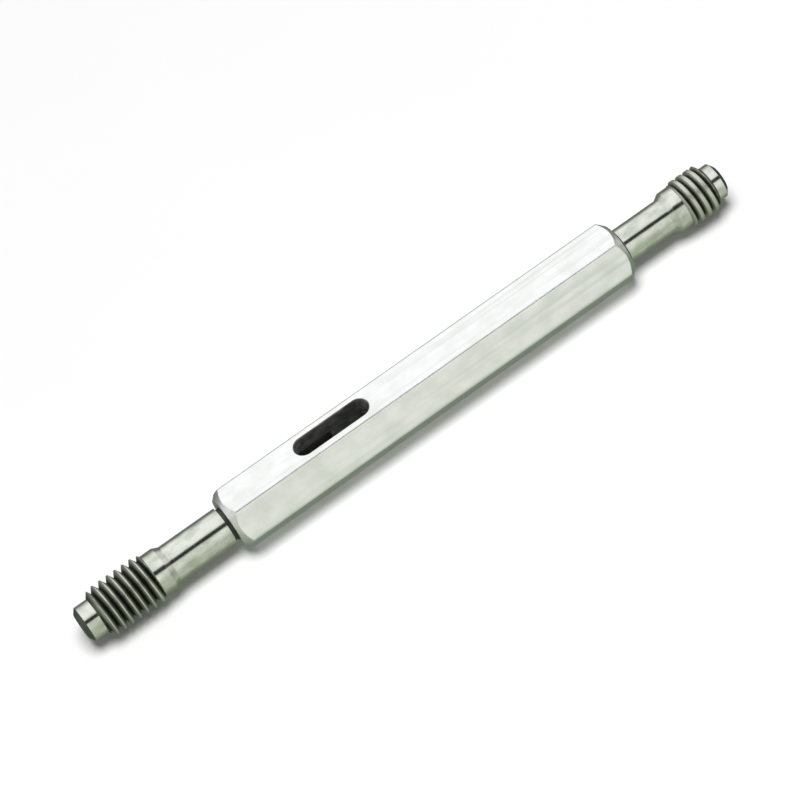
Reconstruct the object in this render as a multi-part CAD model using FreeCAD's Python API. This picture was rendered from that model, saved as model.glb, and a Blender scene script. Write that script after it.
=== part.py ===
import FreeCAD, Part
import math
import os

# Thread plug gauge, double-ended, M6 x 1: an aluminium hexagon handle holding
# a long GO thread member at one end and a short NO-GO member at the other.
#
# All sizes in millimetres.  X runs along the gauge, GO tip towards -X;
# +Z is up.  The gauge lies on one flat of the hexagon, the flat with the
# drift slot uppermost, and X = 0 is half way along the whole gauge.

os.makedirs("parts", exist_ok=True)

# ---------------------------------------------------------------- handle
across_flats = 7.0            # hexagon bar size
bar_corner_radius = 0.45      # drawn bar has soft corners
handle_length = 53.2
end_face_diameter = 6.0       # flat left by the turned end chamfers
end_chamfer_angle = 45.0      # between the chamfer and the gauge axis
mouth_chamfer = 0.12          # edge break at the two taper mouths
core_hole_diameter = 2.4      # drilled from the slot to the NO-GO socket

# drift slot, through the bar from the top flat to the bottom flat
slot_width = 2.4
slot_length = 9.6
slot_from_go_face = 10.2      # GO end face to the near end of the slot
slot_edge_break = 0.12

# ---------------------------------------------------------------- sockets
taper_ratio = 1.0 / 50.0      # change of diameter per length
taper_fit_clearance = 0.0     # radial, shank to socket: a locking taper seats
taper_to_slot = 0.3           # end of the GO taper to the slot
no_go_socket_depth = 11.6
no_go_shank_depth = 10.6      # the shank stops short of the socket's bottom
go_shank_into_slot = 0.5      # the drift bears on this end of the GO shank

# ---------------------------------------------------------------- thread
pitch = 1.0
flank_angle = 60.0            # included angle of the thread
go_major_diameter = 6.0
no_go_allowance = 0.15        # NO-GO over GO, on the pitch diameter
no_go_crest_height = 0.1      # radial, pitch line to the truncated crests
pilot_step = 0.092            # radial, GO groove bottoms down to the pilots
runout_turn = 0.42            # turns over which the groove rises and fades
runout_steps = 9              # stations along that rise
groove_clearance = 0.06       # cutter beyond the metal it has to leave
cutter_height = 0.35          # cutter over the crests, of the way to a sharp V
least_cut = 0.9               # of the groove's metal, for the cut to count

# ---------------------------------------------------------------- GO member
go_seat_gap = 0.42            # neck shoulder to handle end face
go_socket_diameter = 4.0      # taper diameter at the handle's end face
go_neck_diameter = 4.55
go_neck_length = 7.36
go_back_cone_length = 0.73
go_collar_step = 0.4          # radial, crests down to the collar
go_collar_length = 1.5
go_thread_length = 6.84       # full-height length, lead cone excluded
go_pilot_length = 1.61        # up to the nose chamfer
go_first_groove = 0.49        # lead cone's big end to the first groove, seen
                              # at the groove_view_angle around the axis

# ---------------------------------------------------------------- NO-GO member
no_go_seat_gap = 0.3
no_go_socket_diameter = 3.8
no_go_neck_diameter = 4.15
no_go_neck_length = 6.0
no_go_back_cone_length = 0.74
no_go_collar_step = 0.3
no_go_collar_length = 1.3
no_go_thread_length = 3.62
no_go_pilot_length = 1.0
no_go_first_groove = 0.51

# ---------------------------------------------------------------- both members
lead_angle = 55.0             # lead cone, to the axis
nose_chamfer_length = 0.45    # along the axis
nose_chamfer_height = 0.6     # across the radius
thread_back_angle = 45.0      # slope from the crests down to the collar
centre_hole_diameter = 1.0    # grinding centres in both tips
centre_hole_angle = 60.0
groove_view_angle = 128.0     # around the axis, from +Y towards +Z

# ================================================================ derived
taper_slope = taper_ratio / 2.0                      # radius per length
flank = math.radians(flank_angle / 2.0)
thread_height = pitch / 2.0 / math.tan(flank)        # of the sharp V form

go_pitch_diameter = go_major_diameter - 0.75 * thread_height
no_go_pitch_diameter = go_pitch_diameter + no_go_allowance
no_go_major_diameter = no_go_pitch_diameter + 2.0 * no_go_crest_height
pilot_diameter = go_pitch_diameter - thread_height - 2.0 * pilot_step


def lead_length(major_diameter):
    """Axial length of the cone from the pilot up to the crests."""
    rise = (major_diameter - pilot_diameter) / 2.0
    return rise / math.tan(math.radians(lead_angle))


go_lead_length = lead_length(go_major_diameter)
no_go_lead_length = lead_length(no_go_major_diameter)

go_reach = (go_seat_gap + go_neck_length + go_back_cone_length
            + go_collar_length + go_thread_length + go_lead_length
            + go_pilot_length + nose_chamfer_length)
no_go_reach = (no_go_seat_gap + no_go_neck_length + no_go_back_cone_length
               + no_go_collar_length + no_go_thread_length
               + no_go_lead_length + no_go_pilot_length + nose_chamfer_length)

overall_length = go_reach + handle_length + no_go_reach
x_go_face = -overall_length / 2.0 + go_reach         # handle's GO end face
x_no_go_face = x_go_face + handle_length
axis_height = across_flats / 2.0

X_AXIS = FreeCAD.Vector(1, 0, 0)
Y_AXIS = FreeCAD.Vector(0, 1, 0)
Z_AXIS = FreeCAD.Vector(0, 0, 1)
ORIGIN = FreeCAD.Vector(0, 0, 0)


# ================================================================ helpers
def turned(points):
    """Solid of revolution about X from (x, radius) points.

    A side at the locking taper's slope is drawn as a first-degree curve, so
    that the long taper makes one plain band around the axis.
    """
    corners = [FreeCAD.Vector(x, r, 0) for x, r in points]
    sides = []
    for a, b in zip(corners, corners[1:] + corners[:1]):
        rise = abs(b.y - a.y)
        if 0.0 < rise < 2.0 * taper_slope * abs(b.x - a.x):
            band = Part.BSplineCurve()
            band.interpolate([a, b])
            sides.append(band.toShape())
        else:
            sides.append(Part.makeLine(a, b))
    return Part.Face(Part.Wire(sides)).revolve(ORIGIN, X_AXIS, 360)


def round_ended(length, width, z):
    """Closed slot outline at height z, long side along X, centred on 0, 0."""
    half = (length - width) / 2.0
    r = width / 2.0
    a = FreeCAD.Vector(-half, -r, z)
    b = FreeCAD.Vector(half, -r, z)
    c = FreeCAD.Vector(half, r, z)
    d = FreeCAD.Vector(-half, r, z)
    right = Part.Arc(b, FreeCAD.Vector(half + r, 0, z), c).toShape()
    left = Part.Arc(d, FreeCAD.Vector(-half - r, 0, z), a).toShape()
    return Part.Wire([Part.makeLine(a, b), right, Part.makeLine(c, d), left])


# ================================================================ handle
def hexagon_bar():
    """Bar along X from 0, lying with a flat at the bottom, about the axis."""
    corner = across_flats / math.sqrt(3.0)
    points = []
    for i in range(6):
        a = math.radians(60.0 * i)
        points.append(FreeCAD.Vector(0, corner * math.cos(a),
                                     corner * math.sin(a)))
    section = Part.Face(Part.makePolygon(points + [points[0]]))
    bar = section.extrude(FreeCAD.Vector(handle_length, 0, 0))
    long_edges = [e for e in bar.Edges
                  if abs(e.tangentAt(e.FirstParameter).dot(X_AXIS)) > 0.999]
    return bar.makeFillet(bar_corner_radius, long_edges)


def turned_envelope():
    """What the lathe leaves: a cone at each end of the bar."""
    face_r = end_face_diameter / 2.0
    out_r = across_flats                             # clear of the corners
    back = (out_r - face_r) / math.tan(math.radians(end_chamfer_angle))
    return turned([(0, 0), (0, face_r), (back, out_r),
                   (handle_length - back, out_r),
                   (handle_length, face_r), (handle_length, 0)])


def slot_cutter():
    half = across_flats / 2.0
    over = 1.0                                       # cutter beyond the flats
    wide_l = slot_length + 2.0 * slot_edge_break
    wide_w = slot_width + 2.0 * slot_edge_break
    through = Part.Face(round_ended(slot_length, slot_width, -half - over))
    cutter = through.extrude(FreeCAD.Vector(0, 0, 2.0 * (half + over)))
    for side in (1.0, -1.0):
        mouth = Part.makeLoft(
            [round_ended(wide_l, wide_w, side * half),
             round_ended(slot_length, slot_width,
                         side * (half - slot_edge_break))], True, True)
        cutter = cutter.fuse(mouth)
    cutter.translate(FreeCAD.Vector(slot_from_go_face + slot_length / 2.0,
                                    0, 0))
    return cutter


def socket(mouth_diameter, reamed, deep):
    """Core of a taper socket from X = 0: edge break, taper, straight end."""
    mouth_r = mouth_diameter / 2.0 + taper_fit_clearance
    broken_r = mouth_r - taper_slope * mouth_chamfer
    small_r = mouth_r - taper_slope * reamed
    points = [(0, 0), (0, mouth_r + mouth_chamfer), (mouth_chamfer, broken_r),
              (reamed, small_r)]
    if deep > reamed:
        points.append((deep, small_r))
    return turned(points + [(deep, 0)])


def make_handle():
    body = hexagon_bar().common(turned_envelope())
    slot_middle = slot_from_go_face + slot_length / 2.0

    # GO socket: the taper stops just short of the slot, and the hole goes on
    # into the slot at the size it has reached
    reamed = slot_from_go_face - taper_to_slot
    body = body.cut(socket(go_socket_diameter, reamed, slot_middle))

    # NO-GO socket: blind, met by the core hole from the slot
    far = socket(no_go_socket_diameter, no_go_socket_depth, no_go_socket_depth)
    far.rotate(ORIGIN, Z_AXIS, 180)
    far.translate(FreeCAD.Vector(handle_length, 0, 0))
    body = body.cut(far)
    core_r = core_hole_diameter / 2.0
    body = body.cut(turned([
        (slot_middle, 0), (slot_middle, core_r),
        (handle_length - no_go_socket_depth / 2.0, core_r),
        (handle_length - no_go_socket_depth / 2.0, 0)]))

    body = body.cut(slot_cutter())
    body.translate(FreeCAD.Vector(x_go_face, 0, axis_height))
    return body


# ================================================================ members
def root_radius(pitch_diameter):
    """Bottom of the groove, whose flanks run on to a sharp V."""
    return (pitch_diameter - thread_height) / 2.0


def groove_section(angle, lift, root_r, outer_r):
    """Thread groove outline in the axial plane at `angle` around Z.

    The helix runs up Z here.  `lift` moves the section away from the axis.
    """
    half = (outer_r - root_r) * math.tan(flank)
    z = pitch * angle / (2.0 * math.pi)
    c, s = math.cos(angle), math.sin(angle)
    points = []
    for r, dz in ((root_r + lift, 0.0), (outer_r + lift, -half),
                  (outer_r + lift, half)):
        points.append(FreeCAD.Vector(r * c, r * s, z + dz))
    return Part.makePolygon(points + [points[0]])


def thread_cutter(crest_r, pitch_diameter, collar_r, clear_x, to_x, groove_x):
    """Right-hand helical groove along X, as a list of cutters.

    It starts in the open, at or before `clear_x`, is full depth up to `to_x`
    and fades out past it.  Its middle crosses `groove_x` at
    groove_view_angle.
    """
    root_r = root_radius(pitch_diameter)
    sharp_r = root_r + thread_height                 # next turns would meet
    outer_r = crest_r + cutter_height * (sharp_r - crest_r)

    # one turn of groove along Z, repeated up the helix, then the last part of
    # a turn where it fades
    turns = int(math.ceil((to_x - clear_x) / pitch))
    from_x = to_x - turns * pitch
    helix = Part.makeHelix(pitch, pitch, pitch_diameter / 2.0)
    sweep = Part.BRepOffsetAPI.MakePipeShell(Part.Wire(helix.Edges))
    sweep.setFrenetMode(True)
    sweep.add(groove_section(0.0, 0.0, root_r, outer_r), False, False)
    sweep.build()
    sweep.makeSolid()
    one_turn = sweep.shape()
    if one_turn.Volume < 0:                          # swept inside out
        one_turn.reverse()
    cutters = []
    for i in range(turns):
        again = one_turn.copy()
        again.translate(FreeCAD.Vector(0, 0, pitch * i))
        cutters.append(again)

    rise = collar_r - root_r + groove_clearance
    end = 2.0 * math.pi * turns
    sections = []
    for i in range(runout_steps + 1):
        t = i / float(runout_steps)
        sections.append(groove_section(
            end + 2.0 * math.pi * runout_turn * t,
            rise * t * t * (3.0 - 2.0 * t), root_r, outer_r))
    cutters.append(Part.makeLoft(sections, True, False))

    # Z to X and X to -Z, so the start lies at -Z, 270 degrees from +Y
    start = groove_view_angle - 360.0 * (groove_x - from_x) / pitch
    for tool in cutters:
        tool.rotate(ORIGIN, Y_AXIS, 90)
        tool.rotate(ORIGIN, X_AXIS, start - 270.0)
        tool.translate(FreeCAD.Vector(from_x, 0, 0))
    return cutters


def cut_thread(blank, tools, least):
    """Cut the groove from a turned blank, taking off at least `least` mm3.

    The blank is round, so it can be turned about X to carry the seam of its
    surfaces clear of the groove; the first clean cut is kept.
    """
    for seam in range(0, 360, 40):
        work = blank.copy()
        work.rotate(ORIGIN, X_AXIS, seam)
        for tool in tools:
            work = work.cut(tool)
        if (work.isValid() and len(work.Solids) == 1
                and blank.Volume - work.Volume > least):
            return work
    raise ValueError("the thread groove could not be cut")


def make_member(major_diameter, pitch_diameter, pilot_length, thread_length,
                first_groove, collar_step, collar_length,
                back_cone_length, neck_diameter, neck_length, seat_gap,
                socket_diameter, shank_in_handle, groove_turned_over):
    """One thread member about X, tip towards -X, handle end face at X = 0."""
    lead = lead_length(major_diameter)
    back = collar_step / math.tan(math.radians(thread_back_angle))
    shoulder = -seat_gap
    cone = shoulder - neck_length
    collar = cone - back_cone_length
    crest_end = collar - collar_length
    crest_start = crest_end - thread_length
    pilot_end = crest_start - lead
    nose = pilot_end - pilot_length
    tip = nose - nose_chamfer_length

    crest_r = major_diameter / 2.0
    collar_r = crest_r - collar_step
    neck_r = neck_diameter / 2.0
    pilot_r = pilot_diameter / 2.0
    face_r = socket_diameter / 2.0
    blank = turned([
        (tip, 0), (tip, pilot_r - nose_chamfer_height),
        (nose, pilot_r), (pilot_end, pilot_r),
        (crest_start, crest_r), (crest_end - back, crest_r),
        (crest_end, collar_r), (collar, collar_r),
        (cone, neck_r), (shoulder, neck_r),
        (shoulder, face_r + taper_slope * seat_gap),
        (shank_in_handle, face_r - taper_slope * shank_in_handle),
        (shank_in_handle, 0)])

    # grinding centre in the tip
    hole_r = centre_hole_diameter / 2.0
    depth = hole_r / math.tan(math.radians(centre_hole_angle / 2.0))
    blank = blank.cut(Part.makeCone(hole_r, 0, depth,
                                    FreeCAD.Vector(tip, 0, 0), X_AXIS))

    # The groove comes in over the pilot, where it meets no metal, and is
    # still full where the crests start to drop.
    groove_x = crest_start + first_groove
    if groove_turned_over:
        # this member is turned end for end below, which carries the view
        # angle to its mirror place about Z: make up the difference here
        groove_x -= pitch * (2.0 * groove_view_angle - 180.0) / 360.0
    tools = thread_cutter(crest_r, pitch_diameter, collar_r,
                          pilot_end - pitch / 2.0, crest_end - back, groove_x)
    # the groove's section, drawn along the crest length
    groove_depth = crest_r - root_radius(pitch_diameter)
    section = groove_depth ** 2 * math.tan(flank)
    middle_r = crest_r - groove_depth / 3.0
    turns = (crest_end - back - crest_start) / pitch
    groove = section * 2.0 * math.pi * middle_r * turns
    return cut_thread(blank, tools, least_cut * groove)


def make_go_member():
    member = make_member(
        go_major_diameter, go_pitch_diameter, go_pilot_length,
        go_thread_length, go_first_groove,
        go_collar_step, go_collar_length, go_back_cone_length,
        go_neck_diameter, go_neck_length, go_seat_gap,
        go_socket_diameter, slot_from_go_face + go_shank_into_slot, False)
    member.translate(FreeCAD.Vector(x_go_face, 0, axis_height))
    return member


def make_no_go_member():
    member = make_member(
        no_go_major_diameter, no_go_pitch_diameter, no_go_pilot_length,
        no_go_thread_length, no_go_first_groove,
        no_go_collar_step, no_go_collar_length, no_go_back_cone_length,
        no_go_neck_diameter, no_go_neck_length, no_go_seat_gap,
        no_go_socket_diameter, no_go_shank_depth, True)
    member.rotate(ORIGIN, Z_AXIS, 180)               # tip towards +X
    member.translate(FreeCAD.Vector(x_no_go_face, 0, axis_height))
    return member


pieces = {
    "handle": make_handle(),
    "go_member": make_go_member(),
    "no_go_member": make_no_go_member(),
}
for name, shape in pieces.items():
    solids = shape.Solids
    if len(solids) != 1 or not shape.isValid():
        raise ValueError("%s: %d solids, valid %s"
                         % (name, len(solids), shape.isValid()))
    solid = solids[0]
    solid.exportStep("parts/%s.step" % name)
    box = solid.optimalBoundingBox()
    print("%-13s volume %9.3f  x %8.3f..%8.3f  z %6.3f..%6.3f"
          % (name, solid.Volume, box.XMin, box.XMax, box.ZMin, box.ZMax))
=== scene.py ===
"""Looks of a double-ended M6 x 1 thread plug gauge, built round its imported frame.

The gauge is an anodised hexagon handle with a drift slot, a long GO thread
member at -X and a short NO-GO thread member at +X.  Sizes in the classes are
millimetres; meshes are metres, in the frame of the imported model.
"""
import logging
import math
from dataclasses import dataclass, field
from enum import Enum, IntEnum
from typing import Dict, List, Sequence, Tuple

import bmesh
import bpy
from mathutils import Matrix, Vector


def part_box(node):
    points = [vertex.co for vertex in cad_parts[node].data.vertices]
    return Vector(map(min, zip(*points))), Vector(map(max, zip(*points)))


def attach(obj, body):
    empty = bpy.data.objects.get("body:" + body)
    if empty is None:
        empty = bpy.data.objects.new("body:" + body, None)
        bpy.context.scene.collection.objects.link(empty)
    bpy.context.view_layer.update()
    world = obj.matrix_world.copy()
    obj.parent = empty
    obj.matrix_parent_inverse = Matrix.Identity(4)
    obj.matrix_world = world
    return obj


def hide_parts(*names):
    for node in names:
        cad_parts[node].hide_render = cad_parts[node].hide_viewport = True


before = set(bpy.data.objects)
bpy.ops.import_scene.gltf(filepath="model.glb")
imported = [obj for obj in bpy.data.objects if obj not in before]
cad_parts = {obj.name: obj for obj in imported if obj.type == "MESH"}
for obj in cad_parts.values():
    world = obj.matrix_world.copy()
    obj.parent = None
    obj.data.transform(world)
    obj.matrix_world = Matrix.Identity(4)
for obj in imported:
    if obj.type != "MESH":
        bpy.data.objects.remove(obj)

LOG = logging.getLogger("thread_gauge")
MM = 0.001
THREAD_WELD = 0.0008     # millimetres: nearer points of a thread are one
BODY_WELD = 0.0005       # millimetres: the same for a whole member
NEAR = 0.001             # millimetres: nearer than this is the same place
SIDE_SHARE = 0.3         # most of a side that one broken corner takes
HOLD = 1.5               # a holding point's place, in lengths of the break
# Soft corners of the handle's ends, as (x, radius) in lengths of edge_soft:
# where the end face meets the turned cone, and where the cone meets the bar.
FACE_CORNER = ((0.0, -1.6), (0.0, -1.0), (0.18, -0.18), (0.71, 0.71),
               (1.2, 1.2))
CONE_CORNER = ((-1.2, -1.2), (-0.71, -0.71), (0.12, -0.12), (1.0, 0.0),
               (1.8, 0.0))
Row = Tuple[float, float]
Colour = Tuple[float, float, float]


class Hand(Enum):
    """Which way a thread member's tip points along the gauge."""

    GO = -1
    NO_GO = 1


class RayView(Enum):
    """Outputs of the Light Path node that the studio sorts rays by."""

    GLOSSY = "Is Glossy Ray"


class Surface(IntEnum):
    """Material slots of a thread member."""

    GROUND = 0
    CUT = 1
    SEAT = 2
    NOSE_END = 3


# ------------------------------------------------------------------ nodes
class NodeKit:
    """Short ways to add and join nodes in one tree."""

    def __init__(self, tree: bpy.types.NodeTree) -> None:
        """Keep the tree that the calls below add to."""
        self.tree = tree

    def add(self, kind: str, **settings) -> bpy.types.Node:
        """Add a node.

        Args:
            kind: Blender's idname of the node.
            settings: attributes to set on it.

        Returns:
            The new node.
        """
        node = self.tree.nodes.new(kind)
        for name, value in settings.items():
            setattr(node, name, value)
        return node

    def feed(self, socket: bpy.types.NodeSocket, value) -> None:
        """Link a socket into an input, or set the input's own value.

        Args:
            socket: the input.
            value: an output socket, a number or a tuple.
        """
        if isinstance(value, bpy.types.NodeSocket):
            self.tree.links.new(value, socket)
        else:
            socket.default_value = value

    def math(self, operation: str, a, b=None, c=None) -> bpy.types.NodeSocket:
        """One Math node.

        Args:
            operation: the node's operation name.
            a: first operand, a socket or a number.
            b: second operand, where the operation has one.
            c: third operand, where the operation has one.

        Returns:
            The node's output socket.
        """
        node = self.add("ShaderNodeMath", operation=operation)
        for socket, value in zip(node.inputs, (a, b, c)):
            if value is not None:
                self.feed(socket, value)
        return node.outputs[0]

    def ramp(self, value, stops: Sequence[Tuple[float, Colour]],
             smooth: bool = False) -> bpy.types.NodeSocket:
        """A colour ramp.

        Args:
            value: what drives the ramp.
            stops: (position, colour) pairs in order.
            smooth: ease between the stops.

        Returns:
            The ramp's colour output.
        """
        node = self.add("ShaderNodeValToRGB")
        ramp = node.color_ramp
        ramp.interpolation = "EASE" if smooth else "LINEAR"
        while len(ramp.elements) < len(stops):
            ramp.elements.new(1.0)
        for element, (position, colour) in zip(ramp.elements, stops):
            element.position = position
            element.color = (*colour, 1.0)
        self.feed(node.inputs[0], value)
        return node.outputs["Color"]

    def mix(self, factor, a, b) -> bpy.types.NodeSocket:
        """Mix two colours by a factor and return the colour output."""
        node = self.add("ShaderNodeMix", data_type="RGBA")
        self.feed(node.inputs["Factor"], factor)
        self.feed(node.inputs[6], a)
        self.feed(node.inputs[7], b)
        return node.outputs[2]

    def span(self, value, low: float, high: float) -> bpy.types.NodeSocket:
        """Stretch a 0 to 1 value to run from low to high."""
        node = self.add("ShaderNodeMapRange")
        self.feed(node.inputs["Value"], value)
        node.inputs["To Min"].default_value = low
        node.inputs["To Max"].default_value = high
        return node.outputs["Result"]

    def bump(self, height, strength: float, distance: float,
             normal=None) -> bpy.types.NodeSocket:
        """Tilt the surface by a height.

        Args:
            height: what drives the relief.
            strength: how much of it shows.
            distance: the relief's full height, millimetres.
            normal: a normal to start from, where there is one.

        Returns:
            The tilted normal.
        """
        node = self.add("ShaderNodeBump")
        node.inputs["Strength"].default_value = strength
        node.inputs["Distance"].default_value = distance * MM
        self.feed(node.inputs["Height"], height)
        if normal is not None:
            self.feed(node.inputs["Normal"], normal)
        return node.outputs[0]

    def noise(self, place, scale: Tuple[float, float, float],
              detail: float = 3.0) -> bpy.types.NodeSocket:
        """Noise stretched along the axes.

        Args:
            place: the coordinates.
            scale: how often it repeats along each axis, per metre.
            detail: octaves.

        Returns:
            The noise's value.
        """
        stretch = self.add("ShaderNodeMapping")
        self.feed(stretch.inputs["Vector"], place)
        stretch.inputs["Scale"].default_value = scale
        noise = self.add("ShaderNodeTexNoise")
        self.feed(noise.inputs["Vector"], stretch.outputs[0])
        noise.inputs["Scale"].default_value = 1.0
        noise.inputs["Detail"].default_value = detail
        return noise.outputs["Fac"]


def grey(value: float) -> Colour:
    """A neutral colour."""
    return (value, value, value)


def started(name: str) -> Tuple[bpy.types.Material, NodeKit, bpy.types.Node,
                                bpy.types.NodeSocket]:
    """Start a material.

    Args:
        name: the material's name.

    Returns:
        The material, its nodes, its shader and the object's coordinates.
    """
    material = bpy.data.materials.new(name)
    material.use_nodes = True
    kit = NodeKit(material.node_tree)
    shader = material.node_tree.nodes["Principled BSDF"]
    place = kit.add("ShaderNodeTexCoord").outputs["Object"]
    return material, kit, shader, place


# ------------------------------------------------------------------ finishes
@dataclass(frozen=True)
class SatinAluminium:
    """Clear anodised bar: pale, satin, mottled, drawn along X."""

    base: Colour = (0.96, 0.965, 0.965)
    cloud: Colour = (0.84, 0.85, 0.83)
    drawn: Colour = (0.70, 0.72, 0.69)
    roughness: Tuple[float, float] = (0.24, 0.44)
    grain_height: float = 0.010
    swell_height: float = 0.085

    def make(self) -> bpy.types.Material:
        """Build the material.

        Returns:
            The finished material.
        """
        material, kit, shader, place = started("satin_aluminium_finish")
        grain = kit.noise(place, (260.0, 2600.0, 2600.0), 4.0)
        lines = kit.noise(place, (22.0, 1500.0, 1500.0), 3.0)
        clouds = kit.noise(place, (360.0, 560.0, 560.0), 4.0)
        swell = kit.noise(place, (330.0, 640.0, 640.0), 3.0)

        colour = kit.mix(kit.ramp(clouds, [(0.36, grey(0.0)),
                                           (0.66, grey(1.0))]),
                         (*self.base, 1.0), (*self.cloud, 1.0))
        streak = kit.ramp(lines, [(0.30, grey(0.55)), (0.44, grey(0.0))])
        colour = kit.mix(streak, colour, (*self.drawn, 1.0))
        kit.feed(shader.inputs["Base Color"], colour)
        shader.inputs["Metallic"].default_value = 1.0
        kit.feed(shader.inputs["Roughness"], kit.span(grain, *self.roughness))
        wave = kit.bump(swell, 0.6, self.swell_height)
        kit.feed(shader.inputs["Normal"],
                 kit.bump(grain, 0.35, self.grain_height, wave))
        return material


@dataclass(frozen=True)
class SlotWall:
    """Inside of the drift slot, coloured near black: painted shade of the deep,
    narrow slot, mottled at random.
    """

    painted_shade: Colour = (0.085, 0.085, 0.08)
    painted_shade_light: Colour = (0.22, 0.22, 0.205)
    roughness: Tuple[float, float] = (0.55, 0.75)

    def make(self) -> bpy.types.Material:
        """Build the material.

        Returns:
            The finished material.
        """
        material, kit, shader, place = started("slot_wall_painted_shade")
        shade_mottle = kit.noise(place, (700.0, 1300.0, 1300.0), 3.0)
        # the walls' near-black colour is painted shade of the deep slot, varied at
        # random
        kit.feed(shader.inputs["Base Color"],
                 kit.ramp(shade_mottle, [(0.40, self.painted_shade), (0.75, self.painted_shade_light)]))
        shader.inputs["Metallic"].default_value = 0.0
        shader.inputs["Specular IOR Level"].default_value = 0.3
        kit.feed(shader.inputs["Roughness"], kit.span(shade_mottle, *self.roughness))
        return material


@dataclass(frozen=True)
class GroundSteel:
    """Hardened gauge steel, ground and lapped round the axis."""

    base: Colour = (0.74, 0.76, 0.70)
    tarnish: Colour = (0.47, 0.51, 0.43)
    roughness: Tuple[float, float] = (0.10, 0.22)
    ring_height: float = 0.0012
    ripple_height: float = 0.016

    def make(self) -> bpy.types.Material:
        """Build the material.

        Returns:
            The finished material.
        """
        material, kit, shader, place = started("ground_steel_finish")
        ground = kit.noise(place, (14000.0, 260.0, 260.0), 3.0)
        film = kit.noise(place, (520.0, 900.0, 900.0), 4.0)
        ripple = kit.noise(place, (900.0, 700.0, 700.0), 2.0)
        colour = kit.mix(kit.ramp(film, [(0.38, grey(0.0)), (0.72, grey(1.0))]),
                         (*self.base, 1.0), (*self.tarnish, 1.0))
        kit.feed(shader.inputs["Base Color"], colour)
        shader.inputs["Metallic"].default_value = 1.0
        kit.feed(shader.inputs["Roughness"], kit.span(ground, *self.roughness))
        wave = kit.bump(ripple, 0.5, self.ripple_height)
        kit.feed(shader.inputs["Normal"],
                 kit.bump(ground, 0.3, self.ring_height, wave))
        return material


@dataclass(frozen=True)
class ThreadSteel:
    """Lapped thread, its colour darker from the crests down to the groove bottoms:
    painted shade in the grooves.
    """

    crest: Colour = (0.62, 0.64, 0.58)
    shoulder: Colour = (0.50, 0.52, 0.46)
    flank: Colour = (0.25, 0.27, 0.22)
    root: Colour = (0.115, 0.130, 0.100)
    axis_height: float = 3.5
    root_radius: float = 2.30
    lap_height: float = 0.002
    roughness: Tuple[float, float] = (0.36, 0.50)

    def make(self, name: str, crest_radius: float) -> bpy.types.Material:
        """Build the material for one member.

        Args:
            name: the material's name.
            crest_radius: radius of the crests, millimetres.

        Returns:
            The finished material.
        """
        material, kit, shader, place = started(name)
        parts = kit.add("ShaderNodeSeparateXYZ")
        kit.feed(parts.inputs[0], place)
        up = kit.math("SUBTRACT", parts.outputs["Z"], self.axis_height * MM)
        out = kit.math("SQRT", kit.math(
            "ADD", kit.math("MULTIPLY", parts.outputs["Y"], parts.outputs["Y"]),
            kit.math("MULTIPLY", up, up)))
        height = kit.math(
            "DIVIDE", kit.math("SUBTRACT", out, self.root_radius * MM),
            (crest_radius - self.root_radius) * MM)
        film = kit.noise(place, (900.0, 1100.0, 1100.0), 4.0)
        height = kit.math("ADD", height, kit.span(film, -0.12, 0.12))
        # colour darkens with depth below the crests: painted shade in the thread
        # grooves
        kit.feed(shader.inputs["Base Color"], kit.ramp(height, [
            (0.12, self.root), (0.42, self.flank), (0.64, self.shoulder),
            (0.97, self.crest)]))
        shader.inputs["Metallic"].default_value = 1.0
        kit.feed(shader.inputs["Roughness"], kit.span(film, *self.roughness))
        lapped = kit.noise(place, (9000.0, 500.0, 500.0), 3.0)
        kit.feed(shader.inputs["Normal"],
                 kit.bump(lapped, 0.35, self.lap_height))
        return material


@dataclass(frozen=True)
class DarkSteel:
    """Dark steel: on the taper shanks its near-black colour is painted shade of the
    seat gap and the drift slot; on the nose chamfer and centre hole it is a darker
    steel colour.
    """

    name: str
    base: Colour
    stain: Colour
    roughness: Tuple[float, float] = (0.35, 0.5)

    def make(self) -> bpy.types.Material:
        """Build the material.

        Returns:
            The finished material.
        """
        material, kit, shader, place = started(self.name)
        stain = kit.noise(place, (900.0, 900.0, 900.0), 4.0)
        kit.feed(shader.inputs["Base Color"],
                 kit.mix(stain, (*self.base, 1.0), (*self.stain, 1.0)))
        shader.inputs["Metallic"].default_value = 1.0
        kit.feed(shader.inputs["Roughness"], kit.span(stain, *self.roughness))
        return material


# ------------------------------------------------------------------ meshes
def softened(rows: Sequence[Row], rounding: float) -> List[Row]:
    """Break the corners of a turned outline.

    Args:
        rows: (x, radius) corners, millimetres.
        rounding: length taken off each side of a corner.

    Returns:
        The outline with three points in place of each inner corner, and a
        holding point a little beyond each side.
    """
    out: List[Row] = [rows[0]]
    for before, here, after in zip(rows, rows[1:], rows[2:]):
        a, p, b = Vector(before), Vector(here), Vector(after)
        towards_a, towards_b = (a - p), (b - p)
        cut = min(rounding, towards_a.length * SIDE_SHARE,
                  towards_b.length * SIDE_SHARE)
        da, db = towards_a.normalized(), towards_b.normalized()
        first, last = p + da * cut, p + db * cut
        middle = (first + last + p * 2.0) / 4.0
        for q in (p + da * cut * HOLD, first, middle, last,
                  p + db * cut * HOLD):
            out.append((q.x, q.y))
    out.append(rows[-1])
    return out


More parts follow.
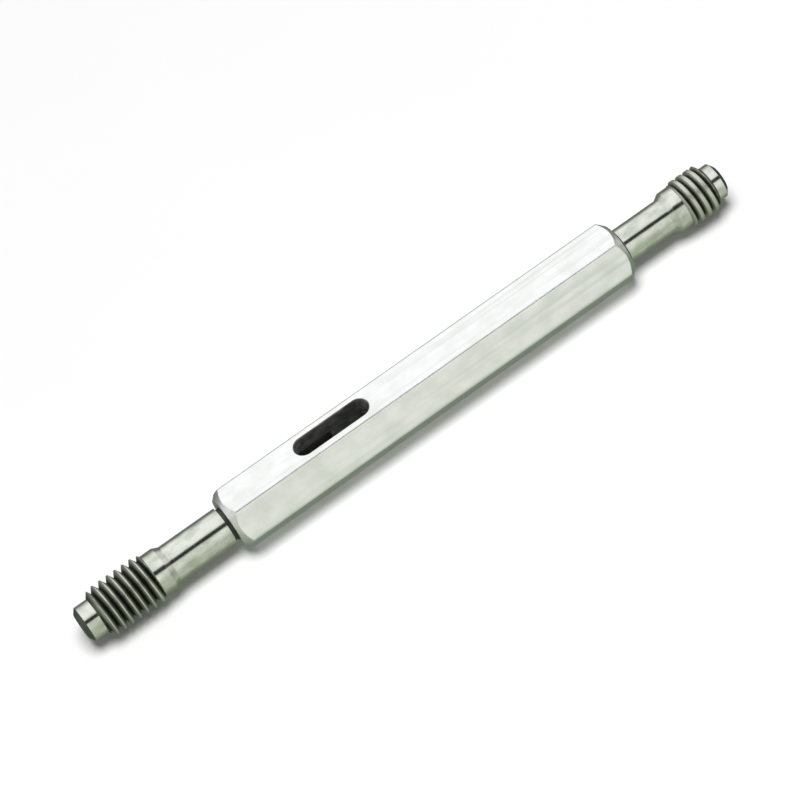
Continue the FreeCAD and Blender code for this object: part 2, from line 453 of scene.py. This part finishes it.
def lathe(mesh: bmesh.types.BMesh, rows: Sequence[Row], columns: int) -> None:
    """Turn an outline about the X axis into a band of faces.

    Args:
        mesh: the mesh that takes the band.
        rows: (x, radius) points in millimetres; a radius of 0 is a pole.
        columns: faces round the axis.
    """
    rings = []
    for x, r in rows:
        if r < 1e-9:
            rings.append([mesh.verts.new((x * MM, 0.0, 0.0))])
            continue
        ring = []
        for j in range(columns):
            a = 2.0 * math.pi * j / columns
            ring.append(mesh.verts.new((x * MM, r * MM * math.cos(a),
                                        r * MM * math.sin(a))))
        rings.append(ring)
    for low, high in zip(rings, rings[1:]):
        for j in range(columns):
            k = (j + 1) % columns
            corners = [low[j % len(low)], low[k % len(low)],
                       high[k % len(high)], high[j % len(high)]]
            distinct = list(dict.fromkeys(corners))
            if len(distinct) > 2:
                mesh.faces.new(distinct)


def plain_mesh(source: bpy.types.Object, name: str) -> bpy.types.Mesh:
    """The evaluated form of an object as a plain mesh.

    Args:
        source: an object with modifiers.
        name: the new mesh's name.

    Returns:
        A mesh with the modifiers' result.
    """
    graph = bpy.context.evaluated_depsgraph_get()
    made = bpy.data.meshes.new_from_object(source.evaluated_get(graph))
    made.name = name
    return made


def settled(work: bmesh.types.BMesh, name: str) -> bpy.types.Mesh:
    """Turn working geometry into a mesh, and free it."""
    mesh = bpy.data.meshes.new(name)
    work.to_mesh(mesh)
    work.free()
    return mesh


def link(name: str, mesh: bpy.types.Mesh) -> bpy.types.Object:
    """Put a mesh into the scene as an object at the origin."""
    made = bpy.data.objects.new(name, mesh)
    bpy.context.scene.collection.objects.link(made)
    return made


def mark_sharp(mesh: bpy.types.Mesh, angle_deg: float) -> None:
    """Shade a mesh smooth, with edges past an angle left sharp.

    Args:
        mesh: the mesh to shade.
        angle_deg: the least angle between faces that stays sharp.
    """
    mesh.shade_smooth()
    work = bmesh.new()
    work.from_mesh(mesh)
    for edge in work.edges:
        if len(edge.link_faces) == 2:
            edge.smooth = edge.calc_face_angle(0.0) < math.radians(angle_deg)
    work.to_mesh(mesh)
    work.free()


# ------------------------------------------------------------------ threads
class ThreadTree:
    """Geometry Nodes that wrap a cut thread round a turned blank."""

    FLOATS = ("Start", "End", "Pilot Radius", "Pilot End", "Lead Slope",
              "Crest Radius", "Collar Radius", "Crest End", "Back Slope",
              "Pitch", "Root Radius", "Flank Slope", "Groove At",
              "Fade Start", "Fade Length", "Fade Rise")
    COUNTS = ("Rows Per Turn", "Columns")

    def __init__(self) -> None:
        """Build the tree once; every member shares it."""
        self.tree = bpy.data.node_groups.new("cut_thread", "GeometryNodeTree")
        face = self.tree.interface
        for name in self.FLOATS:
            face.new_socket(name, in_out="INPUT", socket_type="NodeSocketFloat")
        for name in self.COUNTS:
            face.new_socket(name, in_out="INPUT", socket_type="NodeSocketInt")
        face.new_socket("Finish", in_out="INPUT",
                        socket_type="NodeSocketMaterial")
        face.new_socket("Geometry", in_out="OUTPUT",
                        socket_type="NodeSocketGeometry")
        self.build()

    def build(self) -> None:
        """Lay out the nodes: grid, helical rows, groove depth, finish."""
        kit = NodeKit(self.tree)
        given = kit.add("NodeGroupInput").outputs
        m = kit.math
        step = m("DIVIDE", given["Pitch"], given["Rows Per Turn"])
        span = m("SUBTRACT", given["End"], given["Start"])
        rows = m("ADD", m("CEIL", m("DIVIDE", span, step)),
                 m("ADD", given["Rows Per Turn"], 3.0))
        grid = kit.add("GeometryNodeMeshGrid")
        grid.inputs["Size X"].default_value = 1.0
        grid.inputs["Size Y"].default_value = 1.0
        kit.feed(grid.inputs["Vertices X"], rows)
        kit.feed(grid.inputs["Vertices Y"], m("ADD", given["Columns"], 1.0))

        place = kit.add("ShaderNodeSeparateXYZ")
        kit.feed(place.inputs[0], kit.add("GeometryNodeInputPosition").outputs[0])
        row = m("ROUND", m("MULTIPLY", m("ADD", place.outputs["X"], 0.5),
                           m("SUBTRACT", rows, 1.0)))
        turn = m("ADD", place.outputs["Y"], 0.5)

        # rows run along the helix, so the groove's edges are edges here
        first = m("SUBTRACT",
                  m("FLOOR", m("DIVIDE", m("SUBTRACT", given["Start"],
                                           given["Groove At"]), step)),
                  given["Rows Per Turn"])
        along = m("ADD", m("MULTIPLY", m("ADD", first, row), step),
                  m("MULTIPLY", turn, given["Pitch"]))
        x = m("MINIMUM", m("MAXIMUM", m("ADD", along, given["Groove At"]),
                           given["Start"]), given["End"])

        # the blank's radius here
        lead = m("ADD", given["Pilot Radius"],
                 m("MULTIPLY", m("MAXIMUM", m("SUBTRACT", x, given["Pilot End"]),
                                 0.0), given["Lead Slope"]))
        back = m("ADD", given["Collar Radius"],
                 m("MULTIPLY", m("MAXIMUM", m("SUBTRACT", given["Crest End"], x),
                                 0.0), given["Back Slope"]))
        blank = m("MINIMUM", given["Crest Radius"], m("MINIMUM", lead, back))

        # the nearest groove's depth here
        phase = m("SUBTRACT", m("DIVIDE", m("SUBTRACT", x, given["Groove At"]),
                                given["Pitch"]), turn)
        nearest = m("ROUND", phase)
        away = m("MULTIPLY", m("ABSOLUTE", m("SUBTRACT", phase, nearest)),
                 given["Pitch"])
        centre = m("ADD", given["Groove At"],
                   m("MULTIPLY", m("ADD", nearest, turn), given["Pitch"]))
        fade = kit.add("ShaderNodeMapRange", interpolation_type="SMOOTHSTEP")
        kit.feed(fade.inputs["Value"],
                 m("DIVIDE", m("SUBTRACT", centre, given["Fade Start"]),
                   given["Fade Length"]))
        gone = m("GREATER_THAN", centre,
                 m("ADD", given["Fade Start"], given["Fade Length"]))
        lift = m("MULTIPLY", given["Fade Rise"],
                 m("ADD", fade.outputs["Result"], m("MULTIPLY", gone, 5.0)))
        groove = m("ADD", m("ADD", given["Root Radius"], lift),
                   m("MULTIPLY", away, given["Flank Slope"]))
        radius = m("MINIMUM", blank, groove)

        angle = m("MULTIPLY", turn, 2.0 * math.pi)
        point = kit.add("ShaderNodeCombineXYZ")
        kit.feed(point.inputs["X"], x)
        kit.feed(point.inputs["Y"], m("MULTIPLY", radius, m("COSINE", angle)))
        kit.feed(point.inputs["Z"], m("MULTIPLY", radius, m("SINE", angle)))

        move = kit.add("GeometryNodeSetPosition")
        kit.feed(move.inputs["Geometry"], grid.outputs["Mesh"])
        kit.feed(move.inputs["Position"], point.outputs[0])
        merge = kit.add("GeometryNodeMergeByDistance")
        kit.feed(merge.inputs["Geometry"], move.outputs[0])
        merge.inputs["Distance"].default_value = THREAD_WELD * MM
        real = kit.add("GeometryNodeRealizeInstances")
        kit.feed(real.inputs["Geometry"], merge.outputs[0])
        finish = kit.add("GeometryNodeSetMaterial")
        kit.feed(finish.inputs["Geometry"], real.outputs[0])
        kit.feed(finish.inputs["Material"], given["Finish"])
        kit.feed(kit.add("NodeGroupOutput").inputs["Geometry"],
                 finish.outputs[0])

    def run(self, sizes: Dict[str, float],
            finish: bpy.types.Material) -> bpy.types.Mesh:
        """Evaluate the tree for one thread.

        Args:
            sizes: a value for each named input, lengths in metres.
            finish: the material to set.

        Returns:
            The threaded band as a plain mesh.
        """
        carrier = link("thread_carrier", bpy.data.meshes.new("thread_carrier"))
        modifier = carrier.modifiers.new("thread", "NODES")
        modifier.node_group = self.tree
        for item in self.tree.interface.items_tree:
            if item.item_type == "SOCKET" and item.in_out == "INPUT":
                value = finish if item.name == "Finish" else sizes[item.name]
                modifier[item.identifier] = value
        carrier.update_tag()
        band = plain_mesh(carrier, "threaded_band")
        bpy.data.objects.remove(carrier)
        return band


@dataclass
class ThreadMember:
    """One screw member: tip, pilot, thread, collar, neck and tapered shank."""

    node: str
    hand: Hand
    major_diameter: float
    pitch_diameter: float
    pilot_length: float
    thread_length: float
    first_groove: float
    collar_step: float
    collar_length: float
    back_cone_length: float
    neck_diameter: float
    neck_length: float
    seat_gap: float
    socket_diameter: float
    rows_per_turn: int
    pitch: float = 1.0
    thread_height: float = 0.8660254
    pilot_diameter: float = 4.30046
    lead_angle: float = 55.0
    nose_chamfer_length: float = 0.45
    nose_chamfer_height: float = 0.6
    centre_hole_diameter: float = 1.0
    centre_hole_depth: float = 0.8660254
    taper_slope: float = 0.01
    flank_angle: float = 60.0
    back_slope: float = 1.0
    runout_turn: float = 0.42
    fade_margin: float = 0.06
    band_before: float = 0.1
    band_after: float = 0.06
    groove_view_angle: float = 128.0
    sharp_angle: float = 70.0
    corner: float = 0.035
    columns: int = 160

    def build(self, tree: ThreadTree, ground: bpy.types.Material,
              seat: bpy.types.Material,
              nose_end: bpy.types.Material) -> bpy.types.Object:
        """Make the member and let it stand for its node.

        Args:
            tree: the shared thread tree.
            ground: the steel of the tip, collar and neck.
            seat: the steel of the taper shank, near black as painted shade of the
                seat gap.
            nose_end: the steel of the nose chamfer and the centre hole.

        Returns:
            The finished piece.
        """
        cut = ThreadSteel().make(self.node + "_thread_groove_shade",
                                 self.major_diameter / 2.0)
        low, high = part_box(self.node)
        axis_z = (low.z + high.z) / 2.0
        length = (high.x - low.x) / MM
        tip = 0.0
        nose = tip + self.nose_chamfer_length
        pilot_end = nose + self.pilot_length
        crest_r = self.major_diameter / 2.0
        pilot_r = self.pilot_diameter / 2.0
        slope = math.tan(math.radians(self.lead_angle))
        crest_start = pilot_end + (crest_r - pilot_r) / slope
        crest_end = crest_start + self.thread_length
        collar_r = crest_r - self.collar_step
        collar = crest_end + self.collar_length
        cone = collar + self.back_cone_length
        shoulder = cone + self.neck_length
        handle_face = shoulder + self.seat_gap
        neck_r = self.neck_diameter / 2.0
        socket_r = self.socket_diameter / 2.0
        root_r = (self.pitch_diameter - self.thread_height) / 2.0

        # the band that the thread is cut in, tip towards -X
        start = pilot_end - self.band_before
        end = crest_end + self.band_after
        groove = crest_start + self.first_groove
        if self.hand is Hand.NO_GO:
            groove -= self.pitch * (2.0 * self.groove_view_angle - 180.0) / 360.0
        groove -= self.pitch * self.groove_view_angle / 360.0
        sizes = {
            "Start": start, "End": end, "Pilot Radius": pilot_r,
            "Pilot End": pilot_end, "Crest Radius": crest_r,
            "Collar Radius": collar_r, "Crest End": crest_end,
            "Pitch": self.pitch, "Root Radius": root_r, "Groove At": groove,
            "Fade Start": crest_end - self.collar_step,
            "Fade Length": self.runout_turn * self.pitch,
            "Fade Rise": collar_r - root_r + self.fade_margin,
        }
        sizes = {name: value * MM for name, value in sizes.items()}
        sizes["Lead Slope"] = slope
        sizes["Back Slope"] = self.back_slope
        sizes["Flank Slope"] = 1.0 / math.tan(
            math.radians(self.flank_angle / 2.0))
        sizes["Rows Per Turn"] = self.rows_per_turn
        sizes["Columns"] = self.columns
        band = tree.run(sizes, cut)

        work = bmesh.new()
        work.from_mesh(band)
        bpy.data.meshes.remove(band)
        for face in work.faces:
            along = face.calc_center_median().x / MM
            face.material_index = (Surface.CUT if pilot_end < along < crest_end
                                   else Surface.GROUND)
        hole_r = self.centre_hole_diameter / 2.0
        front = softened([
            (tip + self.centre_hole_depth, 0.0), (tip, hole_r),
            (tip, pilot_r - self.nose_chamfer_height), (nose, pilot_r),
            (start, pilot_r)], self.corner)
        rear = softened([
            (end, collar_r), (collar, collar_r), (cone, neck_r),
            (shoulder, neck_r),
            (shoulder, socket_r + self.taper_slope * self.seat_gap),
            (length, socket_r - self.taper_slope * (length - handle_face)),
            (length, 0.0)], self.corner)
        lathe(work, front, self.columns)
        lathe(work, rear, self.columns)
        for face in work.faces:
            along = face.calc_center_median().x / MM
            reach = max(math.hypot(v.co.y, v.co.z) for v in face.verts)
            if along > shoulder - NEAR:
                face.material_index = Surface.SEAT
            elif along < nose - NEAR or reach < hole_r * MM:
                face.material_index = Surface.NOSE_END
        bmesh.ops.remove_doubles(work, verts=work.verts, dist=BODY_WELD * MM)
        bmesh.ops.recalc_face_normals(work, faces=work.faces)
        mesh = settled(work, self.node + "_ground")
        if self.hand is Hand.NO_GO:
            mesh.transform(Matrix.Translation((high.x, 0.0, axis_z))
                           @ Matrix.Rotation(math.pi, 4, "Z"))
        else:
            mesh.transform(Matrix.Translation((low.x, 0.0, axis_z)))
        for finish in (ground, cut, seat, nose_end):
            mesh.materials.append(finish)
        mark_sharp(mesh, self.sharp_angle)
        piece = link(self.node + "_ground", mesh)
        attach(piece, "root")
        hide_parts(self.node)
        LOG.info("%s: %d faces", piece.name, len(mesh.polygons))
        return piece


# ------------------------------------------------------------------ handle
@dataclass
class Handle:
    """Hexagon bar with turned ends, two taper sockets and a drift slot."""

    node: str = "handle"
    corner_radius: float = 0.45
    end_face_diameter: float = 6.0
    edge_soft: float = 0.05
    corner_hold: float = 0.04
    corner_steps: int = 6
    flat_steps: int = 12
    mouth_chamfer: float = 0.12
    go_socket_diameter: float = 4.0
    no_go_socket_diameter: float = 3.8
    no_go_socket_depth: float = 11.6
    taper_slope: float = 0.01
    taper_to_slot: float = 0.3
    core_hole_diameter: float = 2.4
    slot_width: float = 2.4
    slot_length: float = 9.6
    slot_from_go_face: float = 10.2
    slot_edge_break: float = 0.12
    slot_steps: int = 24
    socket_columns: int = 96
    skin_gap: float = 0.002                          # member to socket
    cutter_over: float = 0.5                         # cutters past the metal
    sharp_angle: float = 35.0

    def section(self, across_flats: float) -> List[Tuple[float, float]]:
        """The hexagon's outline about the axis.

        Args:
            across_flats: size of the bar.

        Returns:
            (y, z) points, counter-clockwise, with soft corners and holding
            points beside them.
        """
        points: List[Tuple[float, float]] = []
        flat = across_flats / 2.0
        inset = flat - self.corner_radius
        reach = inset / math.cos(math.radians(30.0))
        half = inset * math.tan(math.radians(30.0))
        for i in range(6):
            middle = math.radians(60.0 * i)
            centre = Vector((math.cos(middle), math.sin(middle))) * reach
            for k in range(self.corner_steps + 1):
                a = middle + math.radians(-30.0 + 60.0 * k / self.corner_steps)
                p = centre + Vector((math.cos(a), math.sin(a))) * self.corner_radius
                points.append((p.x, p.y))
            side = math.radians(60.0 * i + 30.0)
            out = Vector((math.cos(side), math.sin(side))) * flat
            run = Vector((-math.sin(side), math.cos(side)))
            stations = [-1.0 + self.corner_hold / half]
            stations += [-1.0 + 2.0 * k / self.flat_steps
                         for k in range(1, self.flat_steps)]
            stations += [1.0 - self.corner_hold / half]
            for s in stations:
                p = out + run * (s * half)
                points.append((p.x, p.y))
        return points

    def bar(self, length: float, across_flats: float) -> bpy.types.Mesh:
        """The solid bar with its turned ends, axis on X, from X = 0.

        Args:
            length: of the handle, millimetres.
            across_flats: size of the bar, millimetres.

        Returns:
            A closed mesh in metres.
        """
        outline = self.section(across_flats)
        face_r = self.end_face_diameter / 2.0
        soft = self.edge_soft
        work = bmesh.new()
        columns: List[List[bmesh.types.BMVert]] = []
        for y, z in outline:
            r = math.hypot(y, z)
            edge = r - face_r                        # 45 degree end cone
            stations = [(soft * x, face_r + soft * q)
                        for x, q in FACE_CORNER]
            stations += [(edge + soft * x, r + soft * q)
                         for x, q in CONE_CORNER]
            far = [(length - x, q) for x, q in reversed(stations)]
            column = []
            for x, q in stations + far:
                column.append(work.verts.new((x * MM, y / r * q * MM,
                                              z / r * q * MM)))
            columns.append(column)
        for left, right in zip(columns, columns[1:] + columns[:1]):
            for i in range(len(left) - 1):
                work.faces.new((left[i], right[i], right[i + 1], left[i + 1]))
        work.faces.new([c[0] for c in columns])
        work.faces.new([c[-1] for c in reversed(columns)])
        bmesh.ops.recalc_face_normals(work, faces=work.faces)
        return settled(work, "bar")

    def socket_core(self, rows: Sequence[Row]) -> bpy.types.Object:
        """A turned cutter for a hole along the axis.

        Args:
            rows: (x, radius) outline in millimetres, poles at both ends.

        Returns:
            The cutter.
        """
        work = bmesh.new()
        lathe(work, rows, self.socket_columns)
        bmesh.ops.recalc_face_normals(work, faces=work.faces)
        return link("core", settled(work, "core"))

    def slot_core(self, across_flats: float) -> bpy.types.Object:
        """The slot's cutter, flared where it breaks the edges.

        Args:
            across_flats: size of the bar, millimetres.

        Returns:
            The cutter.
        """
        half = across_flats / 2.0
        run = (self.slot_length - self.slot_width) / 2.0
        middle = self.slot_from_go_face + self.slot_length / 2.0
        wide = self.slot_edge_break
        levels = [(-half - self.cutter_over, wide), (-half, wide)]
        for step in (30, 60):                        # half round, half straight
            a = math.radians(step)
            levels.append((
                -half + wide * (1.0 - math.cos(a)) * 0.5 + wide * 0.5 * step / 90.0,
                wide * (1.0 - math.sin(a) * 0.5 - 0.5 * step / 90.0)))
        levels += [(-half + wide, 0.0)]
        levels += [(-z, w) for z, w in reversed(levels)]
        work = bmesh.new()
        rings = []
        for z, grow in levels:
            r = self.slot_width / 2.0 + grow
            ring = []
            for side in (1.0, -1.0):
                for k in range(self.slot_steps + 1):
                    a = math.radians(-90.0 + 180.0 * k / self.slot_steps)
                    x = side * (run + r * math.cos(a)) + middle
                    y = side * r * math.sin(a)
                    ring.append(work.verts.new((x * MM, y * MM, z * MM)))
            rings.append(ring)
        for low, high in zip(rings, rings[1:]):
            for j in range(len(low)):
                k = (j + 1) % len(low)
                work.faces.new((low[j], low[k], high[k], high[j]))
        work.faces.new(list(reversed(rings[0])))
        work.faces.new(rings[-1])
        bmesh.ops.recalc_face_normals(work, faces=work.faces)
        return link("slot_core", settled(work, "slot_core"))

    def cores(self, length: float, across_flats: float) -> List[bpy.types.Object]:
        """Every cutter of the handle's holes.

        Args:
            length: of the handle, millimetres.
            across_flats: size of the bar, millimetres.

        Returns:
            The cutters, in the order they are used.
        """
        middle = self.slot_from_go_face + self.slot_length / 2.0
        over = self.cutter_over
        reamed = self.slot_from_go_face - self.taper_to_slot
        chamfer = self.mouth_chamfer
        go_r = self.go_socket_diameter / 2.0 + self.skin_gap
        small = go_r - self.taper_slope * reamed
        go = [(-over, 0.0), (-over, go_r + chamfer), (0.0, go_r + chamfer),
              (chamfer, go_r - self.taper_slope * chamfer),
              (reamed, small), (middle, small), (middle, 0.0)]
        far_r = self.no_go_socket_diameter / 2.0 + self.skin_gap
        depth = self.no_go_socket_depth
        core_r = self.core_hole_diameter / 2.0
        no_go = [(middle, 0.0), (middle, core_r), (length - depth, core_r),
                 (length - depth, far_r - self.taper_slope * depth),
                 (length - chamfer, far_r - self.taper_slope * chamfer),
                 (length, far_r + chamfer), (length + over, far_r + chamfer),
                 (length + over, 0.0)]
        return [self.slot_core(across_flats), self.socket_core(go),
                self.socket_core(no_go)]

    def build(self, finish: bpy.types.Material,
              slot_finish: bpy.types.Material) -> bpy.types.Object:
        """Make the handle and let it stand for its node.

        Args:
            finish: the anodised outside.
            slot_finish: the slot's walls, near black as painted shade.

        Returns:
            The finished piece.
        """
        low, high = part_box(self.node)
        length = (high.x - low.x) / MM
        across_flats = (high.z - low.z) / MM
        body = link("bar", self.bar(length, across_flats))
        body.data.materials.append(finish)
        for core in self.cores(length, across_flats):
            core.data.materials.append(slot_finish)
            cut = body.modifiers.new("cut", "BOOLEAN")
            cut.operation = "DIFFERENCE"
            cut.solver = "EXACT"
            cut.material_mode = "TRANSFER"
            cut.object = core
            made = plain_mesh(body, "handle_cut")
            body.modifiers.remove(cut)
            body.data = made
            bpy.data.objects.remove(core)
        mesh = body.data
        mesh.transform(Matrix.Translation((low.x, 0.0, (low.z + high.z) / 2.0)))
        mark_sharp(mesh, self.sharp_angle)
        weights = body.modifiers.new("weights", "WEIGHTED_NORMAL")
        weights.keep_sharp = True
        weights.weight = 100
        mesh = plain_mesh(body, "hexagon_handle")
        bpy.data.objects.remove(body)
        piece = link("hexagon_handle", mesh)
        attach(piece, "root")
        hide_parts(self.node)
        LOG.info("%s: %d faces", piece.name, len(mesh.polygons))
        return piece


# ------------------------------------------------------------------ studio
@dataclass
class Studio:
    """Pale floor, soft light and the camera."""

    azimuth: float = 9.06                            # towards -X from -Y
    elevation: float = 52.1
    roll: float = 35.13
    distance: float = 490.5                          # millimetres
    lens: float = 200.9
    target: Tuple[float, float, float] = (2.69, 0.0, 3.5)
    target_right: float = 2.677                      # of the frame's middle
    target_up: float = 1.603
    slit: float = 57.0                               # dark slit, round X
    slit_half: float = 9.0                           # its dark half width
    slit_edge: float = 14.0                          # the same with soft edges
    glow: Colour = (0.17, 0.17, 0.17)
    key_angle: float = 83.0                          # round X, 90 overhead
    key_distance: float = 0.8                        # metres, as its size
    key_size: float = 0.45
    key_power: float = 6.3
    floor_half: float = 3.0                          # metres

    def axes(self) -> Tuple[Vector, Vector, Vector]:
        """Directions of the picture: towards the camera, right and up."""
        a, e = math.radians(self.azimuth), math.radians(self.elevation)
        back = Vector((-math.sin(a), -math.cos(a) * math.cos(e),
                       math.cos(a) * math.sin(e)))
        along = (Vector((1.0, 0.0, 0.0)) - back * back.x).normalized()
        over = back.cross(along)
        t = math.radians(self.roll)
        right = along * math.cos(t) - over * math.sin(t)
        up = along * math.sin(t) + over * math.cos(t)
        return back, right, up

    def camera(self) -> bpy.types.Object:
        """Place the camera.

        Returns:
            The camera object.
        """
        back, right, up = self.axes()
        place = Vector(self.target) + back * self.distance
        aim = Vector(self.target) - right * self.target_right - up * self.target_up
        back = (place - aim).normalized()
        right = (right - back * right.dot(back)).normalized()
        up = back.cross(right)
        data = bpy.data.cameras.new("camera")
        data.lens = self.lens
        data.sensor_width = 36.0
        data.clip_start, data.clip_end = 0.01, 10.0
        made = bpy.data.objects.new("camera", data)
        bpy.context.scene.collection.objects.link(made)
        turn = Matrix((right, up, back)).transposed()
        made.matrix_world = (Matrix.Translation(place * MM) @ turn.to_4x4())
        bpy.context.scene.camera = made
        return made

    def floor(self) -> bpy.types.Object:
        """Lay the floor.

        Returns:
            The floor object.
        """
        work = bmesh.new()
        half = self.floor_half
        for x, y in ((-half, -half), (half, -half), (half, half), (-half, half)):
            work.verts.new((x, y, 0.0))
        work.faces.new(work.verts)
        mesh = settled(work, "floor")
        made = link("floor", mesh)
        material = bpy.data.materials.new("pale_floor")
        material.use_nodes = True
        kit = NodeKit(material.node_tree)
        shader = material.node_tree.nodes["Principled BSDF"]
        shader.inputs["Roughness"].default_value = 0.9
        shader.inputs["Specular IOR Level"].default_value = 0.0
        speck = kit.noise(kit.add("ShaderNodeTexCoord").outputs["Object"],
                          (40.0, 40.0, 40.0), 2.0)
        kit.feed(shader.inputs["Base Color"],
                 kit.mix(speck, (0.93, 0.93, 0.93, 1.0),
                         (0.95, 0.95, 0.95, 1.0)))
        mesh.materials.append(material)
        made.visible_glossy = False
        return made

    def tent(self, kit: NodeKit, direction) -> bpy.types.NodeSocket:
        """What the polished metal reflects.

        Args:
            kit: the world's nodes.
            direction: the ray's direction.

        Returns:
            The colour seen that way: a white tent with a dark slit for the
            lens, a dim pale-green room below and darker ends.
        """
        parts = kit.add("ShaderNodeSeparateXYZ")
        kit.feed(parts.inputs[0], direction)
        # angle round the gauge: 0 at the front, 90 overhead, 180 behind
        angle = kit.math("ARCTAN2", parts.outputs["Z"],
                         kit.math("MULTIPLY", parts.outputs["Y"], -1.0))
        turn = kit.math("MULTIPLY_ADD", angle, 0.5 / math.pi, 0.5)
        slit, dark, soft = self.slit, self.slit_half, self.slit_edge
        stops = [
            (-180.0, (0.20, 0.21, 0.19)), (-128.0, (0.16, 0.19, 0.16)),
            (-100.0, (0.20, 0.24, 0.19)), (-68.0, (0.34, 0.38, 0.30)),
            (-50.0, (0.55, 0.60, 0.50)), (-5.0, (0.60, 0.64, 0.55)),
            (4.0, (0.78, 0.81, 0.74)), (14.0, (0.86, 0.88, 0.82)),
            (24.0, (0.95, 0.97, 0.90)), (slit - soft, (0.95, 0.97, 0.90)),
            (slit - dark, grey(0.02)), (slit + dark, grey(0.02)),
            (slit + soft, (1.06, 1.07, 1.06)), (150.0, (1.10, 1.11, 1.12)),
            (166.0, (0.75, 0.77, 0.74)), (180.0, (0.22, 0.23, 0.21))]
        ring = kit.ramp(turn, [(a / 360.0 + 0.5, c) for a, c in stops])
        ends = kit.ramp(kit.math("MULTIPLY_ADD", parts.outputs["X"], 0.5, 0.5), [
            (0.0, grey(0.88)), (0.18, grey(0.90)), (0.36, grey(1.0)),
            (0.66, grey(1.0)), (0.84, grey(0.82)), (1.0, grey(0.68))])
        shade = kit.add("ShaderNodeMix", data_type="RGBA",
                        blend_type="MULTIPLY")
        shade.inputs["Factor"].default_value = 1.0
        kit.feed(shade.inputs[6], ring)
        kit.feed(shade.inputs[7], ends)
        return shade.outputs[2]

    def world(self) -> None:
        """The tent for reflections and an even glow for everything else."""
        world = bpy.data.worlds.new("tent")
        bpy.context.scene.world = world
        world.use_nodes = True
        kit = NodeKit(world.node_tree)
        shade = world.node_tree.nodes["Background"]
        direction = kit.add("ShaderNodeTexCoord").outputs["Generated"]
        path = kit.add("ShaderNodeLightPath")
        kit.feed(shade.inputs["Color"], kit.mix(
            path.outputs[RayView.GLOSSY.value], (*self.glow, 1.0),
            self.tent(kit, direction)))
        shade.inputs["Strength"].default_value = 1.0

    def key(self) -> bpy.types.Object:
        """A wide softbox almost overhead.

        Returns:
            The light object.
        """
        high = math.radians(self.key_angle)
        away = Vector((0.0, -math.cos(high), math.sin(high)))
        data = bpy.data.lights.new("softbox", "AREA")
        data.shape = "DISK"
        data.size = self.key_size
        data.energy = self.key_power
        made = bpy.data.objects.new("softbox", data)
        bpy.context.scene.collection.objects.link(made)
        made.location = Vector(self.target) * MM + away * self.key_distance
        made.rotation_mode = "QUATERNION"
        made.rotation_quaternion = away.to_track_quat("Z", "Y")
        made.visible_glossy = False
        return made

    def build(self) -> None:
        """Set up everything that isn't the gauge."""
        self.camera()
        self.floor()
        self.world()
        self.key()
        settings = bpy.context.scene.view_settings
        settings.view_transform = "Standard"
        settings.look = "None"


# ------------------------------------------------------------------ gauge
@dataclass
class ThreadGauge:
    """The whole gauge: handle and two members."""

    handle: Handle = field(default_factory=Handle)
    go: ThreadMember = field(default_factory=lambda: ThreadMember(
        node="go_member", hand=Hand.GO, major_diameter=6.0,
        pitch_diameter=5.35048, pilot_length=1.61, thread_length=6.84,
        first_groove=0.49, collar_step=0.4, collar_length=1.5,
        back_cone_length=0.73, neck_diameter=4.55, neck_length=7.36,
        seat_gap=0.42, socket_diameter=4.0, rows_per_turn=32))
    no_go: ThreadMember = field(default_factory=lambda: ThreadMember(
        node="no_go_member", hand=Hand.NO_GO, major_diameter=5.70048,
        pitch_diameter=5.50048, pilot_length=1.0, thread_length=3.62,
        first_groove=0.51, collar_step=0.3, collar_length=1.3,
        back_cone_length=0.74, neck_diameter=4.15, neck_length=6.0,
        seat_gap=0.3, socket_diameter=3.8, rows_per_turn=39))

    def build(self) -> List[bpy.types.Object]:
        """Build and dress every piece.

        Returns:
            The pieces.
        """
        steel = GroundSteel().make()
        # near-black shank colour: painted shade of the seat gap and the slot
        seat = DarkSteel("seat_steel_painted_shade", (0.10, 0.105, 0.09),
                         (0.045, 0.047, 0.04)).make()
        end = DarkSteel("end_steel_finish", (0.24, 0.25, 0.225),
                        (0.13, 0.14, 0.12)).make()
        tree = ThreadTree()
        return [self.handle.build(SatinAluminium().make(), SlotWall().make()),
                self.go.build(tree, steel, seat, end),
                self.no_go.build(tree, steel, seat, end)]


def corners(box: Tuple[Vector, Vector]) -> List[List[float]]:
    """A box's two corners as plain lists."""
    return [list(box[0]), list(box[1])]


def main() -> None:
    """Build the gauge and the studio, and log the pieces."""
    logging.basicConfig(level=logging.INFO, format="%(name)s: %(message)s")
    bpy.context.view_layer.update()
    pieces = ThreadGauge().build()
    Studio().build()
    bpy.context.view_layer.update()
    for piece in pieces:
        LOG.info("piece %s is in place", piece.name)


if __name__ == "__main__":
    main()
